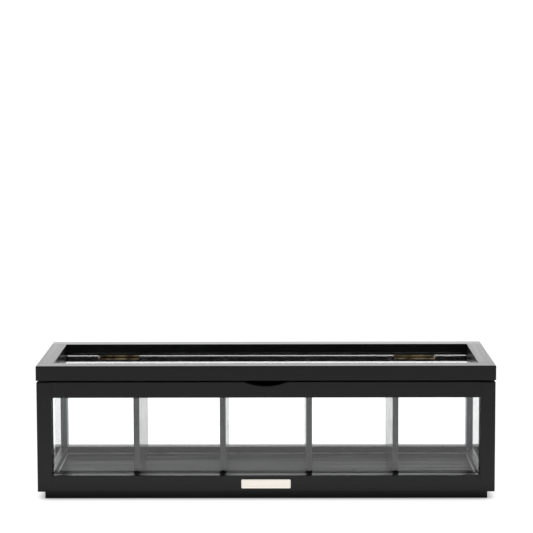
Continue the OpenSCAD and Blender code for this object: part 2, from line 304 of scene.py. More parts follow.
CASE_ARRIS = 0.8 * MM
INNER_ARRIS = 0.2 * MM
JOINT_ARRIS = 0.1 * MM
PANE_CLEARANCE = 0.1 * MM
PANE_EDGE_ROOM = 0.3 * MM


def pane_groove(node):
    """The groove that a window pane stands in."""
    low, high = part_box(node)
    is_side = high.x - low.x < high.y - low.y
    if is_side:
        return grown(node, PANE_CLEARANCE, PANE_EDGE_ROOM, PANE_EDGE_ROOM)
    return grown(node, PANE_EDGE_ROOM, PANE_CLEARANCE, PANE_EDGE_ROOM)


dull_black = black_paint(
    "dull black", "Z", ior=1.3, roughness=0.65, uneven=0.05,
    streak_width=2.4 * MM, streak_depth=0.006 * MM,
)
# A lighter bluish grey on the rear posts' inner faces: partly dust, partly a painted sheen of the
# light on them.
dust_and_sheen_black = black_paint(
    "dust and sheen black", "Z", ior=1.4, roughness=0.3, uneven=0.1,
    streak_width=5 * MM, streak_depth=0.01 * MM,
    dark=(0.055, 0.08, 0.088), light=(0.19, 0.26, 0.28),
)
opposite = {"-x": "+x", "+x": "-x"}
for end, outer_y in (("front", "-y"), ("rear", "+y")):
    for side, outer_x in (("left", "-x"), ("right", "+x")):
        node = f"{end}_{side}_post"
        grooves = [pane_groove(f"{end}_glass"), pane_groove(f"{side}_glass")]
        radii = {outer_x: CASE_ARRIS, outer_y: CASE_ARRIS, "-z": CASE_ARRIS, "+z": CASE_ARRIS}
        post = eased(
            sawn_block(*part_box(node), grooves),
            f"painted_{node}",
            satin_black["Z"],
            {"all": INNER_ARRIS, **radii},
            other_sides=[opposite[outer_x], "+z" if end == "front" else "-y"],
            other_material=dull_black if end == "front" else dust_and_sheen_black,
        )
        fitted(settled(post), "case", "black_paint_on_wood", node)

# Dowels of the case
# Fluted beech pegs with chamfered ends, glued across each joint of a post and a rail.
# The flutes let the glue out of the blind holes. They can't be seen on the closed joint.

DOWEL_FLUTES = 12
FLUTE_DEPTH = 0.14 * MM
DOWEL_CHAMFER = 0.6 * MM


def solids_of(node):
    """The box of each separate solid of a node."""
    skin = bmesh.new()
    skin.from_mesh(frame["nodes"][node].data)
    bmesh.ops.remove_doubles(skin, verts=skin.verts, dist=0.001 * MM)
    left, boxes = set(skin.verts), []
    while left:
        found = [left.pop()]
        for vert in found:
            near = {e.other_vert(vert) for e in vert.link_edges} & left
            left -= near
            found.extend(near)
        points = [v.co.copy() for v in found]
        boxes.append((Vector(map(min, *points)), Vector(map(max, *points))))
    skin.free()
    return sorted(boxes, key=lambda b: tuple(round(v, 5) for v in b[0]))


def add_rings(skin, rings, is_closed=True):
    """Adds the skin through rings of equally many points, closed at both ends."""
    loops = [[skin.verts.new(p) for p in ring] for ring in rings]
    count = len(loops[0])
    for a, b in zip(loops, loops[1:]):
        for i in range(count):
            j = (i + 1) % count
            skin.faces.new((a[i], a[j], b[j], b[i]))
    if is_closed:
        skin.faces.new(loops[0][::-1])
        skin.faces.new(loops[-1])


def turned(skin, start, axis, profile, steps=32, flutes=0, flute_depth=0.0):
    """Adds a turned solid: profile gives (distance along axis from start, radius)."""
    axis = Vector(axis).normalized()
    side = axis.orthogonal().normalized()
    other = axis.cross(side)
    rings = []
    for along, radius in profile:
        ring = []
        for i in range(steps):
            turn = 2 * pi * i / steps
            r = radius - flute_depth * (0.5 - 0.5 * cos(flutes * turn))
            ring.append(start + axis * along + r * (side * cos(turn) + other * sin(turn)))
        rings.append(ring)
    add_rings(skin, rings)


def beech_wood():
    """Pale beech with grain and short dark flecks."""
    wood, tree, face = new_finish("beech")
    face.inputs["Roughness"].default_value = 0.6
    grain = noise(tree, 900, detail=3)
    colour = tinted(tree, grain, 0.35, (0.32, 0.19, 0.09), 0.6, (0.62, 0.43, 0.25))
    tree.links.new(colour, face.inputs["Base Color"])
    return wood


beech = beech_wood()


def dowels(node, body):
    """All the dowels of a node, each along the longest side of its solid."""
    skin = bmesh.new()
    for low, high in solids_of(node):
        size = high - low
        long = max(range(3), key=lambda a: size[a])
        axis = Vector([1.0 if a == long else 0.0 for a in range(3)])
        start = (low + high) / 2 - axis * size[long] / 2
        radius, tip = size[(long + 1) % 3] / 2, DOWEL_CHAMFER
        profile = [(0, radius - tip), (tip, radius), (size[long] - tip, radius)]
        profile.append((size[long], radius - tip))
        turned(skin, start, axis, profile, 4 * DOWEL_FLUTES, DOWEL_FLUTES, FLUTE_DEPTH)
    pegs = piece_from(skin, f"fluted_{node}", beech)
    fitted(settled(pegs), body, "beech", node)


dowels("case_dowels", "case")

# Rails under the windows
# Wooden bars between the posts, glued down on the rabbet of the base board. They are grooved
# for the panes, and the front and rear ones also for the dividers. Their tops are glossier,
# apart from the front one, which hands have rubbed.

DIVIDER_CLEARANCE = 0.1 * MM
SLOT_ABOVE = 2 * MM
REAR_WINDOW_ARRIS = 2.5 * MM
SILL_ARRIS = 0.4 * MM
TOP_ARRIS = 0.35 * MM
divider_nodes = [f"divider_{i}" for i in (1, 2, 3, 4)]


def divider_slot(node):
    """The slot that a divider slides into, open upwards."""
    low, high = grown(node, DIVIDER_CLEARANCE, DIVIDER_CLEARANCE)
    return low, high + Vector((0, 0, SLOT_ABOVE))


def rail_radii(side, outer_z):
    """Radii of a wall's rail: outer at the case's own faces, and crisp at its ends."""
    is_long = side in ("front", "rear")
    outer = {"front": "-y", "rear": "+y", "left": "-x", "right": "+x"}[side]
    ends = ("-x", "+x") if is_long else ("-y", "+y")
    radii = {"all": INNER_ARRIS, outer: CASE_ARRIS, outer_z: CASE_ARRIS}
    if outer_z == "-z":
        radii["+z"] = SILL_ARRIS
    if side == "rear" and outer_z == "-z":
        radii |= {outer: REAR_WINDOW_ARRIS, "+z": REAR_WINDOW_ARRIS}
    return {**radii, ends[0]: JOINT_ARRIS, ends[1]: JOINT_ARRIS}


def wall_rail(side, level, outer_z, cuts=(), stations=()):
    """The skin and the radii of one rail, with its pane groove and divider slots."""
    node = f"{side}_{level}_rail"
    cuts = [pane_groove(f"{side}_glass"), *cuts]
    if side in ("front", "rear"):
        cuts += [divider_slot(n) for n in divider_nodes]
    return sawn_block(*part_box(node), cuts, stations), rail_radii(side, outer_z)


glossy_black = {
    axis: black_paint(
        f"glossy black along {axis}", axis, ior=1.3, roughness=0.19, uneven=0.01,
        streak_width=2.4 * MM, streak_depth=0.001 * MM,
    )
    for axis in "XY"
}
rubbed_black = black_paint(
    "rubbed black", "X", ior=1.2, roughness=0.3, uneven=0.01,
    streak_width=2.4 * MM, streak_depth=0.001 * MM,
)
bottom_rails = {}
for side in ("front", "rear", "left", "right"):
    skin, radii = wall_rail(side, "bottom", "-z")
    along = "X" if side in ("front", "rear") else "Y"
    name = f"painted_{side}_bottom_rail"
    sill_paint = rubbed_black if side == "front" else glossy_black[along]
    sills = dict(other_sides=["+z"], other_material=sill_paint)
    rail = settled(eased(skin, name, satin_black[along], radii, **sills))
    bottom_rails[side] = fitted(rail, "case", "black_paint_on_wood", f"{side}_bottom_rail")

# Glue beads
# The glue that was wiped into the corners between the floor and the rails, and painted over with
# them. Its grey, lighter than the paint, is a painted highlight that shows as a light line at the
# foot of each rail.

BEAD_SIZE = 1.0 * MM
BEAD_STEPS = 6


def glue_bead(skin, start, end, rail_side):
    """Adds a hollow-faced bead from start to end, with the rail on the rail_side of it."""
    up = Vector((0, 0, 1))
    profile = [Vector(rail_side) * BEAD_SIZE]
    for i in range(BEAD_STEPS + 1):
        turn = i / BEAD_STEPS * pi / 2
        out = Vector(rail_side) * sin(turn) + up * (1 - cos(turn))
        profile.append(out * BEAD_SIZE)
    add_rings(skin, [[place + step for step in profile] for place in (start, end)])


def glue_with_painted_highlight():
    """Grey, half glossy glue with dust in it, lighter than the paint as a painted highlight along the
    joint.
    """
    glue, tree, face = new_finish("glue with painted highlight")
    face.inputs["Roughness"].default_value = 0.35
    dust = noise(tree, 90, detail=4)
    # The grey stands in for light: a painted highlight along the foot of each rail.
    colour = tinted(tree, dust, 0.35, (0.08, 0.08, 0.075), 0.65, (0.26, 0.26, 0.24))
    tree.links.new(colour, face.inputs["Base Color"])
    return glue


floor_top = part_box("base_board")[1].z
left_x, right_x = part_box("left_bottom_rail")[1].x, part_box("right_bottom_rail")[0].x
front_y, rear_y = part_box("front_bottom_rail")[1].y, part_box("rear_bottom_rail")[0].y
skin = bmesh.new()
for y, side in ((front_y + BEAD_SIZE, -1), (rear_y - BEAD_SIZE, 1)):
    ends = (Vector((left_x, y, floor_top)), Vector((right_x, y, floor_top)))
    glue_bead(skin, *ends, (0, side, 0))
for x, side in ((left_x + BEAD_SIZE, -1), (right_x - BEAD_SIZE, 1)):
    ends = (Vector((x, front_y, floor_top)), Vector((x, rear_y, floor_top)))
    glue_bead(skin, *ends, (side, 0, 0))
bmesh.ops.recalc_face_normals(skin, faces=skin.faces)
beads = settled(piece_from(skin, "glue_beads", glue_with_painted_highlight()))
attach(beads, "case")

# Nameplate
# A small plate of pale nickelled metal, stamped with a fine raised rim, and pressed into a
# shallow recess of the front rail. Its field is bare.

PLATE_CORNER = 1.0 * MM
PLATE_RIM = 0.75 * MM
RIM_HEIGHT = 0.12 * MM
PLATE_EDGE = 0.15 * MM
PLATE_CLEARANCE = 0.25 * MM
CORNER_STEPS = 8


def plate_outline(inset, y):
    """The plate's outline with round corners, moved inwards by inset, at the depth y."""
    low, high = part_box("nameplate")
    middle = (low + high) / 2
    half_w, half_h = (high.x - low.x) / 2 - inset, (high.z - low.z) / 2 - inset
    radius = max(PLATE_CORNER - inset, 0.1 * MM)
    ring = []
    for quarter in range(4):
        turn = quarter * pi / 2
        x = (half_w - radius) * (1 if quarter in (0, 3) else -1)
        z = (half_h - radius) * (1 if quarter in (0, 1) else -1)
        for i in range(CORNER_STEPS + 1):
            angle = turn + i / CORNER_STEPS * pi / 2
            point = Vector((x + radius * cos(angle), 0, z + radius * sin(angle)))
            ring.append(Vector((middle.x, y, middle.z)) + point)
    return ring


def combined(piece, other, operation):
    """Cuts the other object out of the piece, or joins it to the piece, and removes it."""
    step = piece.modifiers.new("joinery", "BOOLEAN")
    step.object = other
    step.operation = operation
    step.solver = "EXACT"
    settled(piece)
    bpy.data.objects.remove(other)
    return piece


def pale_metal():
    """Nickelled metal with a fine horizontal brushing, a little worn."""
    metal, tree, face = new_finish("pale metal")
    face.inputs["Metallic"].default_value = 1.0
    brushing = noise(tree, 1, detail=3, stretch=(60, 2600, 2600))
    colour = tinted(tree, brushing, 0.3, (0.885, 0.835, 0.75), 0.65, (0.965, 0.925, 0.85))
    tree.links.new(colour, face.inputs["Base Color"])
    tree.links.new(graded(tree, brushing, 0, 1, 0.12, 0.26), face.inputs["Roughness"])
    tree.links.new(relief(tree, brushing, 0.3, 0.004 * MM), face.inputs["Normal"])
    return metal


plate_low, plate_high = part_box("nameplate")
plate_front, plate_back = plate_low.y, plate_high.y
edge_steps = [(PLATE_EDGE * (1 - cos(a)), PLATE_EDGE * (1 - sin(a))) for a in (0, pi / 6, pi / 3)]
plate_rings = [plate_outline(0, plate_back)]
plate_rings += [plate_outline(inset, plate_front + depth) for inset, depth in edge_steps]
plate_rings.append(plate_outline(PLATE_EDGE, plate_front))
plate_rings.append(plate_outline(PLATE_RIM, plate_front))
plate_rings.append(plate_outline(PLATE_RIM + RIM_HEIGHT, plate_front + RIM_HEIGHT))
plate_skin = bmesh.new()
add_rings(plate_skin, plate_rings)
plate = piece_from(plate_skin, "stamped_nameplate", pale_metal())
fitted(settled(plate, radians(40)), "case", "plate_metal", "nameplate")

recess_skin = bmesh.new()
recess_depths = (plate_back, plate_front - MM)
add_rings(recess_skin, [plate_outline(-PLATE_CLEARANCE, y) for y in recess_depths])
combined(bottom_rails["front"], piece_from(recess_skin, "recess", beech), "DIFFERENCE")

# Window panes
# Plain float glass, 2 mm thick with ground edges, standing loose in the grooves of the posts
# and rails. The glass is faintly green, which shows where it is seen at a slant.

GROUND_EDGE = 0.25 * MM


def chosen(tree, test, usual, other):
    """The other shader where the test is true, and the usual one elsewhere."""
    choice = tree.nodes.new("ShaderNodeMixShader")
    tree.links.new(test, choice.inputs["Fac"])
    tree.links.new(usual, choice.inputs[1])
    tree.links.new(other, choice.inputs[2])
    return choice.outputs["Shader"]


def clear_glass():
    """Float glass with faint smudges. Lamps and bounced light reach what is behind it."""
    glass, tree, pane = new_finish("clear glass")
    nodes, links = tree.nodes, tree.links
    pane.inputs["Transmission Weight"].default_value = 1.0
    pane.inputs["Roughness"].default_value = 0.0
    pane.inputs["IOR"].default_value = 1.5
    smudges = noise(tree, 30, detail=3)
    colour = tinted(tree, smudges, 0.4, (0.993, 0.998, 0.997), 0.75, (0.975, 0.984, 0.986))
    links.new(colour, pane.inputs["Base Color"])
    clear = nodes.new("ShaderNodeBsdfTransparent")
    clear.inputs["Color"].default_value = (0.95, 0.96, 0.96, 1)
    path = nodes.new("ShaderNodeLightPath")
    lights = nodes.new("ShaderNodeMath")
    lights.operation = "MAXIMUM"
    links.new(path.outputs["Is Shadow Ray"], lights.inputs[0])
    links.new(path.outputs["Is Diffuse Ray"], lights.inputs[1])
    look = chosen(tree, lights.outputs["Value"], pane.outputs["BSDF"], clear.outputs["BSDF"])
    links.new(look, nodes["Material Output"].inputs["Surface"])
    return glass


float_glass = clear_glass()


def glass_pane(node, name, body):
    """A pane with ground edges."""
    pane = eased(sawn_block(*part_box(node)), name, float_glass, {"all": GROUND_EDGE})
    fitted(settled(pane), body, "clear_glass", node)


for side in ("front", "rear", "left", "right"):
    glass_pane(f"{side}_glass", f"{side}_window_pane", "case")

# Dividers
# Four thin boards, painted like the frame, slid down into the slots of the front and rear
# rails until they stand on the floor.

DIVIDER_ARRIS = 0.3 * MM
DIVIDER_TOP_ARRIS = 0.6 * MM

smooth_black = black_paint(
    "smooth black", "Y", ior=1.46, roughness=0.2, uneven=0.02,
    streak_width=2.4 * MM, streak_depth=0.003 * MM,
)
radii = {"all": DIVIDER_ARRIS} | {side: DIVIDER_TOP_ARRIS for side in ("-x", "+x", "+z")}
for i, node in enumerate(divider_nodes, 1):
    board = eased(sawn_block(*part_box(node)), f"painted_divider_{i}", smooth_black, radii)
    fitted(settled(board), "case", "black_paint_on_wood", node)

# Rails above the windows
# Bars like those below. The front one has a shallow finger scoop under the lid's edge, cut
# 8 mm into the wood, and the rear one has a mortise for each hinge.

SCOOP_WIDTH = 36 * MM
SCOOP_DEPTH = 3.5 * MM
SCOOP_RUN = 8 * MM
SCOOP_STEPS = 36
SCOOP_ARRIS = 1.0 * MM
MORTISE_CLEARANCE = 0.1 * MM
REAR_LIP = 2.5 * MM
REAR_RABBET_DEPTH = 2.6 * MM
REAR_LIP_ARRIS = 0.8 * MM


def scoop_cut():
    """The block that the scoop is cut from, and the places of the steps of its arc."""
    low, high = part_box("front_top_rail")
    half = SCOOP_WIDTH / 2
    cut = (
        Vector((-half, low.y - MM, high.z - SCOOP_DEPTH)),
        Vector((half, low.y + SCOOP_RUN, high.z + MM)),
    )
    return cut, [half * (2 * i / SCOOP_STEPS - 1) for i in range(1, SCOOP_STEPS)]


def bend_scoop(skin):
    """Raises the floor of the scoop's cut to an arc that runs out at the rail's top."""
    top = max(v.co.z for v in skin.verts)
    half = SCOOP_WIDTH / 2
    radius = (half**2 + SCOOP_DEPTH**2) / (2 * SCOOP_DEPTH)
    for vert in skin.verts:
        on_floor = abs(vert.co.z - (top - SCOOP_DEPTH)) < 0.01 * MM
        if on_floor and abs(vert.co.x) < half + 0.01 * MM and vert.co.y < -half:
            sunk = sqrt(radius**2 - vert.co.x**2) - (radius - SCOOP_DEPTH)
            vert.co.z = top - sunk
    bmesh.ops.remove_doubles(skin, verts=skin.verts, dist=0.002 * MM)


flat_black = black_paint(
    "flat black", "X", ior=1.12, roughness=0.8, uneven=0.05,
    streak_width=2.4 * MM, streak_depth=0.004 * MM,
)
for side in ("front", "rear", "left", "right"):
    cuts, stations = [], []
    if side == "front":
        scoop, stations = scoop_cut()
        cuts = [scoop]
    if side == "rear":
        for hinge in ("left", "right"):
            low, high = grown(f"{hinge}_hinge_case_leaf", MORTISE_CLEARANCE, MM)
            cuts.append((low, high + Vector((0, 0, MM))))
        low, high = grown("rear_top_rail", MM, MM, MM)
        inner_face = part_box("rear_top_rail")[0].y
        floor_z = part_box("rear_top_rail")[1].z - REAR_RABBET_DEPTH
        cuts.append((Vector((low.x, inner_face + REAR_LIP, floor_z)), high))
    skin, radii = wall_rail(side, "top", "+z", cuts, stations)
    radii["+z"] = TOP_ARRIS
    if side == "rear":
        radii |= {"-y": REAR_LIP_ARRIS, "+z": REAR_LIP_ARRIS}
    if side == "front":
        bend_scoop(skin)
    along = "X" if side in ("front", "rear") else "Y"
    paints = dict(elsewhere=JOINT_ARRIS)
    if side == "front":
        paints = dict(elsewhere=SCOOP_ARRIS, other_sides=["+z", "cut"], other_material=flat_black)
    if side == "rear":
        paints = dict(elsewhere=JOINT_ARRIS, other_sides=["+z"], other_material=dull_black)
    rail = eased(skin, f"painted_{side}_top_rail", satin_black[along], radii, **paints)
    fitted(settled(rail), "case", "black_paint_on_wood", f"{side}_top_rail")

# Lid pads
# Two small discs of black rubber with domed faces, stuck on the front posts. They hold the
# front of the closed lid off the case.

DOME_RISE = 0.5 * MM


def black_rubber():
    """Matt black rubber with a fine pebbled skin."""
    rubber, tree, face = new_finish("black rubber")
    face.inputs["Base Color"].default_value = (0.012, 0.012, 0.012, 1)
    pebbles = noise(tree, 2500)
    tree.links.new(graded(tree, pebbles, 0, 1, 0.55, 0.8), face.inputs["Roughness"])
    tree.links.new(relief(tree, pebbles, 0.4, 0.02 * MM), face.inputs["Normal"])
    return rubber


pad_skin = bmesh.new()
for low, high in solids_of("lid_pads"):
    radius, height = (high.x - low.x) / 2, high.z - low.z
    foot = Vector(((low.x + high.x) / 2, (low.y + high.y) / 2, low.z))
    profile = [(0, radius), (height - DOME_RISE, radius)]
    for i in range(1, 8):
        slope = i / 8 * pi / 2
        profile.append((height - DOME_RISE * (1 - sin(slope)), radius * cos(slope)))
    turned(pad_skin, foot, (0, 0, 1), profile)
pads = piece_from(pad_skin, "domed_lid_pads", black_rubber())
fitted(settled(pads), "case", "black_rubber", "lid_pads")

# Lid frame
# Two long rails that run from end to end and two short ones between them, grooved for the
# pane low down, glued and dowelled, and sprayed in the same satin black as the case.

LID_ARRIS = 0.8 * MM
LID_INNER_ARRIS = 0.3 * MM
LID_FOOT_ARRIS = 0.3 * MM

worn_black = {
    axis: black_paint(
        f"worn black along {axis}", axis, ior=1.32, roughness=0.33, uneven=0.03,
        streak_width=3 * MM, streak_depth=0.002 * MM,
    )
    for axis in "XY"
}
for side in ("front", "rear", "left", "right"):
    node = f"lid_{side}_rail"
    groove = grown("lid_glass", PANE_EDGE_ROOM, PANE_EDGE_ROOM, PANE_CLEARANCE)
    outer = {"front": "-y", "rear": "+y", "left": "-x", "right": "+x"}[side]
    radii = {"all": LID_INNER_ARRIS, outer: LID_ARRIS, "-z": LID_FOOT_ARRIS, "+z": LID_ARRIS}
    inner = {"front": "+y", "rear": "-y", "left": "+x", "right": "-x"}[side]
    if side in ("front", "rear"):
        radii |= {"-x": LID_ARRIS, "+x": LID_ARRIS}
    else:
        radii |= {"-y": JOINT_ARRIS, "+y": JOINT_ARRIS}
    along = "X" if side in ("front", "rear") else "Y"
    skin = sawn_block(*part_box(node), [groove])
    paints = dict(other_sides=["+z"], other_material=worn_black[along])
    if side == "rear":
        paints = dict(other_sides=[inner], other_material=dull_black)
    rail = eased(skin, f"painted_{node}", satin_black[along], radii, **paints)
    fitted(settled(rail), "lid", "black_paint_on_wood", node)

dowels("lid_dowels", "lid")

# Lid pane
# The same glass, 3 mm thick, in the groove of the lid frame.

glass_pane("lid_glass", "lid_window_pane", "lid")

# Hinges
# Two butt hinges of old brass. A leaf is a strip bent round the pin into knuckles, which
# leaves a seam on the inside, and it has two countersunk holes. The case leaf lies in a
# mortise, and the lid leaf lies on the lid frame.

KNUCKLES = 5
KNUCKLE_GAP = 0.2 * MM
PIN_RADIUS = 0.9 * MM
PIN_CLEARANCE = 0.03 * MM
BARREL_RADIUS = 1.9 * MM
LEAF_INNER = 1.0 * MM
LEAF_OUTER = 2.0 * MM
ROLL_STEPS = 20
ROLL_END = radians(205)
SCREW_HEAD = 4.0 * MM
SCREW_SHANK = 2.4 * MM
HOLE_ROOM = 0.05 * MM
RUBBED_EDGE = 0.1 * MM
PIN_END_ROUND = 0.25 * MM
hinge_axis = Vector(frame["joints"][0]["pos_m"])


def old_brass():
    """Brass with brown patina in the hollows and brighter rubbed patches."""
    brass, tree, face = new_finish("old brass")
    face.inputs["Metallic"].default_value = 1.0
    patches = noise(tree, 110, detail=5, roughness=0.62)
    pits = noise(tree, 1500)
    colour = tinted(tree, patches, 0.38, (0.22, 0.14, 0.065), 0.62, (0.95, 0.78, 0.45))
    tree.links.new(colour, face.inputs["Base Color"])
    tree.links.new(graded(tree, patches, 0.35, 0.65, 0.55, 0.3), face.inputs["Roughness"])
    tree.links.new(relief(tree, pits, 0.35, 0.02 * MM), face.inputs["Normal"])
    return brass


brass = old_brass()


def roll_path():
    """The bent end of a leaf below the axis, as (y, z) points from its outer face round the
    pin and back to its inner face."""
    hole = PIN_RADIUS + PIN_CLEARANCE
    outer, inner = [], []
    for i in range(ROLL_STEPS + 1):
        turn = -pi / 2 + (ROLL_END + pi / 2) * i / ROLL_STEPS
        outer.append((BARREL_RADIUS * cos(turn), BARREL_RADIUS * sin(turn)))
        inner.append((hole * cos(turn), hole * sin(turn)))
    return outer + inner[::-1]


def leaf_skin(x0, x1, first, up):
    """A leaf from x0 to x1 whose knuckles are every second one from first. up is -1 for
    the leaf below the axis and 1 for the one above it."""
    skin = bmesh.new()
    reach = hinge_axis.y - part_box("left_hinge_case_leaf")[0].y
    root = BARREL_RADIUS + KNUCKLE_GAP
    strip = [(-root, -LEAF_OUTER), (-reach, -LEAF_OUTER), (-reach, -LEAF_INNER), (-root, -LEAF_INNER)]
    roll = roll_path()
    pitch = (x1 - x0) / KNUCKLES
    knuckles = [
        (x0 + k * pitch + KNUCKLE_GAP / 2, x0 + (k + 1) * pitch - KNUCKLE_GAP / 2)
        for k in range(first, KNUCKLES, 2)
    ]
    stations = sorted({x0, x1} | {x for pair in knuckles for x in pair})

    def row(points, x):
        return [
            skin.verts.new((x, hinge_axis.y + y, hinge_axis.z - up * z)) for y, z in points
        ]

    strips = {x: row(strip, x) for x in stations}
    for a, b in zip(stations, stations[1:]):
        is_knuckle = (a, b) in knuckles
        for i in range(3):
            skin.faces.new((strips[a][i], strips[a][i + 1], strips[b][i + 1], strips[b][i]))
        if not is_knuckle:
            skin.faces.new((strips[a][3], strips[a][0], strips[b][0], strips[b][3]))
            continue
        start, end = row(roll, a), row(roll, b)
        near = [strips[a][0], *start, strips[a][3]]
        far = [strips[b][0], *end, strips[b][3]]
        for i in range(len(near) - 1):
            skin.faces.new((near[i], far[i], far[i + 1], near[i + 1]))
        skin.faces.new(near)
        skin.faces.new(far[::-1])
    skin.faces.new(strips[x0])
    skin.faces.new(strips[x1][::-1])
    bmesh.ops.recalc_face_normals(skin, faces=skin.faces)
    return skin


def countersink(low, high, up):
    """A cutter for a screw hole: the head's cone and the shank's hole."""
    skin = bmesh.new()
    middle = (low + high) / 2
    head = Vector((middle.x, middle.y, low.z if up > 0 else high.z))
    cone = (SCREW_HEAD - SCREW_SHANK) / 2
    mouth, bore = SCREW_HEAD / 2 + HOLE_ROOM, SCREW_SHANK / 2 + HOLE_ROOM
    profile = [(-MM, mouth), (0, mouth), (cone, bore), (3 * MM, bore)]
    turned(skin, head, (0, 0, up), profile)
    bmesh.ops.recalc_face_normals(skin, faces=skin.faces)
    return piece_from(skin, "countersink", brass)


for part, up, first in (("case", -1, 0), ("lid", 1, 1)):
    screws = solids_of(f"hinge_{part}_screws")
    for hinge in ("left", "right"):
        node = f"{hinge}_hinge_{part}_leaf"
        low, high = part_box(node)
        leaf = piece_from(leaf_skin(low.x, high.x, first, up), f"brass_{node}", brass)
        for screw_low, screw_high in screws:
            if low.x < screw_low.x < high.x:
                combined(leaf, countersink(screw_low, screw_high, up), "DIFFERENCE")
        edge = leaf.modifiers.new("rubbed edges", "BEVEL")
        edge.width = RUBBED_EDGE
        edge.segments = 2
        edge.limit_method = "ANGLE"
        edge.angle_limit = radians(50)
        fitted(settled(leaf), part, "aged_brass", node)

for hinge in ("left", "right"):
    node = f"{hinge}_hinge_pin"
    low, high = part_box(node)
    length, radius = high.x - low.x, (high.z - low.z) / 2
    start = Vector((low.x, (low.y + high.y) / 2, (low.z + high.z) / 2))
    tip = PIN_END_ROUND
    profile = [(0, radius - tip), (0.08 * MM, radius - 0.08 * MM), (tip, radius)]
    profile += [(length - along, r) for along, r in reversed(profile)]
    skin = bmesh.new()
    turned(skin, start, (1, 0, 0), profile)
    pin = piece_from(skin, f"brass_{node}", brass)
    fitted(settled(pin), "case", "aged_brass", node)

# Hinge screws
# Brass wood screws with flat slotted heads and a rolled thread, two in each leaf.

THREAD_PITCH = 0.9 * MM
THREAD_DEPTH = 0.32 * MM
THREAD_STEPS = 24
SCREW_SLOT = 0.6 * MM
SLOT_DEPTH = 0.4 * MM
SLOT_REACH = 3 * MM
HEAD_EDGE = 0.1 * MM
PLAIN_SHANK = 1.2 * MM
POINT_RADIUS = 0.05 * MM
THREAD_HALF_WIDTH = 0.22 * MM


def screw_skin(head, up, length):
    """A screw from the middle of its head along Z, with a helical thread to its point."""
    skin = bmesh.new()
    head_r, shank_r = SCREW_HEAD / 2, SCREW_SHANK / 2
    cone, point = head_r - shank_r, shank_r
    profile = [(0, head_r - HEAD_EDGE), (0.8 * HEAD_EDGE, head_r), (cone, shank_r)]
    smooth_to = cone + PLAIN_SHANK
    profile.append((smooth_to, shank_r))
    turned_to = length - point
    root_r = shank_r - THREAD_DEPTH
    rings = int((turned_to - smooth_to) / THREAD_PITCH * THREAD_STEPS)
    profile += [(smooth_to + 0.1 * MM, root_r), (turned_to, root_r), (length, POINT_RADIUS)]
    turned(skin, head, (0, 0, up), profile)
    ridge = []
    for i in range(rings + 1):
        turn = 2 * pi * i / THREAD_STEPS
        along = smooth_to + THREAD_PITCH * i / THREAD_STEPS
        out = Vector((cos(turn), sin(turn), 0))
        rise = min(1.0, i / 12, (rings - i) / 12)
        foot = root_r - 0.05 * MM
        crest = root_r + THREAD_DEPTH * rise
        half = THREAD_HALF_WIDTH
        ridge.append([
            head + out * foot + Vector((0, 0, up * (along - half))),
            head + out * crest + Vector((0, 0, up * along)),
            head + out * foot + Vector((0, 0, up * (along + half))),
        ])
    add_rings(skin, ridge)
    bmesh.ops.recalc_face_normals(skin, faces=skin.faces)
    return skin


for part, up in (("case", -1), ("lid", 1)):
    node = f"hinge_{part}_screws"
    made = []
    for number, (low, high) in enumerate(solids_of(node), 1):
        head = Vector(((low.x + high.x) / 2, (low.y + high.y) / 2, low.z if up > 0 else high.z))
        screw = piece_from(screw_skin(head, up, high.z - low.z), f"screw_{part}_{number}", brass)
        slot_low = Vector((-SLOT_REACH, -SCREW_SLOT / 2, -SLOT_DEPTH))
        turn = Matrix.Rotation(radians(35 + 67 * number), 4, "Z")
        slot = sawn_block(slot_low, -slot_low)
        slot.transform(Matrix.Translation(head) @ turn)
        combined(screw, piece_from(slot, "slot", brass), "DIFFERENCE")
        made.append(screw)
    skin = bmesh.new()
    for screw in made:
        skin.from_mesh(screw.data)
        bpy.data.objects.remove(screw)
    screws = piece_from(skin, f"brass_{node}", brass)
    fitted(settled(screws), part, "aged_brass", node)

# Studio
# A white floor under a white studio that is open and dark behind the camera, a large soft
# lamp above, and one low behind the box, which the lid and its pane mirror.

FLOOR_SIZE = 4.0
GLOW_TO_CAMERA = 0.93
CONTACT_REACH = 0.012
CONTACT_SHADE = 0.3
SHADE_TO_CAMERA = 0.14
GLOW_THROUGH_GLASS = 1.33
GLOW_FROM_THE_FRONT = 1.15
GLOSS_NEAR = 1.02
GLOSS_FAR = 0.7
GLOSS_FADE = (0.05, 0.6)
GLOSS_AT_FOOT = 0.0
FOOT_SHADE_WIDTH = 0.05
INSIDE_FADE = 0.1
ROOM_FRONT = 0.16


